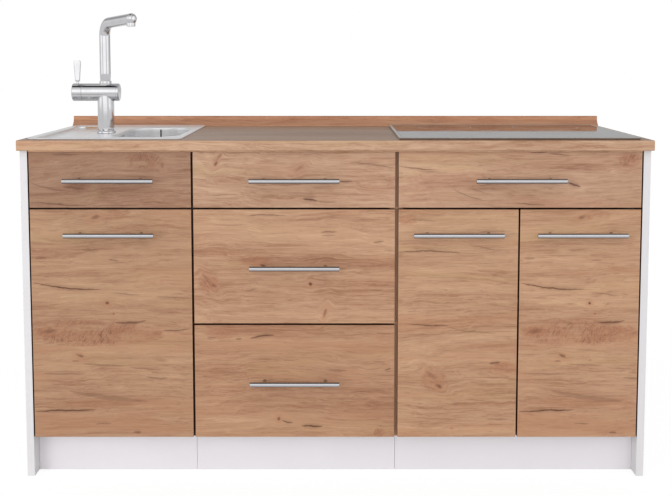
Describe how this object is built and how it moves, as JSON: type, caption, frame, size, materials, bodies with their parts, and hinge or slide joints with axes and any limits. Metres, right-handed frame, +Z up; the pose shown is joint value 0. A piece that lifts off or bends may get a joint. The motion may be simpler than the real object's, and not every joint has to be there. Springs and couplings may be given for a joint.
{
  "type": "kitchenette unit with sink and hob",
  "caption": "Fitted kitchenette unit: base cabinets with doors and drawers under a worktop with an inset sink, a side-lever tap and a glass hob.",
  "frame": {"origin": "on the floor, at the middle of the footprint from the handles' outer faces to the worktop's back edge", "axes": "+X to the right seen from the front, +Y to the wall, +Z up; the fronts face -Y"},
  "size_m": [1.544, 0.619, 1.1513],
  "materials": {
    "oak_front": "matt oak decor, grain across",
    "oak_worktop": "matt oak laminate",
    "white_board": "white melamine board",
    "inner_board": "white melamine board",
    "hardboard": "white-faced thin hardboard",
    "brushed_steel": "brushed stainless steel",
    "chrome": "polished chrome",
    "zinc_steel": "zinc-plated steel",
    "black_glass": "polished black glass-ceramic",
    "grey_plastic": "moulded grey plastic"
  },
  "bodies": {
    "root": {"worktop": "oak_worktop", "wall_strip": "oak_worktop", "end_panel_left": "white_board", "end_panel_right": "white_board", "sink_cabinet_left_side": "inner_board", "sink_cabinet_right_side": "inner_board", "sink_cabinet_floor": "inner_board", "sink_cabinet_rail": "inner_board", "sink_plinth": "white_board", "drawer_cabinet_left_side": "inner_board", "drawer_cabinet_right_side": "inner_board", "drawer_cabinet_floor": "inner_board", "drawer_cabinet_back": "hardboard", "drawer_plinth": "white_board", "hob_cabinet_left_side": "inner_board", "hob_cabinet_right_side": "inner_board", "hob_cabinet_floor": "inner_board", "hob_cabinet_back": "hardboard", "hob_cabinet_shelf": "inner_board", "hob_plinth": "white_board", "sink_blind_front": "oak_front", "sink_blind_front_handle": "brushed_steel", "hob_blind_front": "oak_front", "hob_blind_front_handle": "brushed_steel", "sink_door_hinge_lower": "zinc_steel", "sink_door_hinge_upper": "zinc_steel", "hob_left_door_hinge_lower": "zinc_steel", "hob_left_door_hinge_upper": "zinc_steel", "hob_right_door_hinge_lower": "zinc_steel", "hob_right_door_hinge_upper": "zinc_steel", "top_runner_left": "zinc_steel", "top_runner_right": "zinc_steel", "middle_runner_left": "zinc_steel", "middle_runner_right": "zinc_steel", "lower_runner_left": "zinc_steel", "lower_runner_right": "zinc_steel", "sink_basin": "brushed_steel", "sink_waste": "grey_plastic", "tap_body": "chrome", "hob_casing": "brushed_steel", "hob_glass": "black_glass"},
    "sink_door_leaf": {"sink_door": "oak_front", "sink_door_handle": "brushed_steel"},
    "hob_left_door_leaf": {"hob_left_door": "oak_front", "hob_left_door_handle": "brushed_steel"},
    "hob_right_door_leaf": {"hob_right_door": "oak_front", "hob_right_door_handle": "brushed_steel"},
    "top_drawer": {"top_drawer_front": "oak_front", "top_drawer_handle": "brushed_steel", "top_drawer_box": "inner_board"},
    "middle_drawer": {"middle_drawer_front": "oak_front", "middle_drawer_handle": "brushed_steel", "middle_drawer_box": "inner_board"},
    "lower_drawer": {"lower_drawer_front": "oak_front", "lower_drawer_handle": "brushed_steel", "lower_drawer_box": "inner_board"},
    "spout": {"tap_spout": "chrome"},
    "cap": {"tap_cap": "chrome"},
    "lever": {"tap_lever": "chrome"},
    "basket": {"strainer_basket": "brushed_steel"}
  },
  "joints": [
    {"name": "sink_door_hinge", "type": "hinge", "parent": "root", "child": "sink_door_leaf", "pos_m": [-0.7484, -0.2745, 0.3857], "axis": [0, 0, 1], "range_deg": [-95, 0]},
    {"name": "hob_left_door_hinge", "type": "hinge", "parent": "root", "child": "hob_left_door_leaf", "pos_m": [0.1516, -0.2745, 0.3857], "axis": [0, 0, 1], "range_deg": [-95, 0]},
    {"name": "hob_right_door_hinge", "type": "hinge", "parent": "root", "child": "hob_right_door_leaf", "pos_m": [0.7484, -0.2745, 0.3857], "axis": [0, 0, 1], "range_deg": [0, 95]},
    {"name": "top_drawer_slide", "type": "slide", "parent": "root", "child": "top_drawer", "axis": [0, -1, 0], "range_m": [0, 0.38]},
    {"name": "middle_drawer_slide", "type": "slide", "parent": "root", "child": "middle_drawer", "axis": [0, -1, 0], "range_m": [0, 0.38]},
    {"name": "lower_drawer_slide", "type": "slide", "parent": "root", "child": "lower_drawer", "axis": [0, -1, 0], "range_m": [0, 0.38]},
    {"name": "spout_swivel", "type": "hinge", "parent": "root", "child": "spout", "pos_m": [-0.605, -0.0405, 0.98], "axis": [0, 0, 1], "range_deg": [-90, 90]},
    {"name": "cap_turn", "type": "hinge", "parent": "root", "child": "cap", "pos_m": [-0.6783, -0.0405, 0.95], "axis": [1, 0, 0], "range_deg": [-45, 45]},
    {"name": "lever_tilt", "type": "hinge", "parent": "cap", "child": "lever", "pos_m": [-0.6783, -0.0405, 0.953], "axis": [0, -1, 0], "range_deg": [0, 18]},
    {"name": "basket_lift", "type": "slide", "parent": "root", "child": "basket", "axis": [0, 0, 1], "range_m": [0, 0.12]}
  ]
}
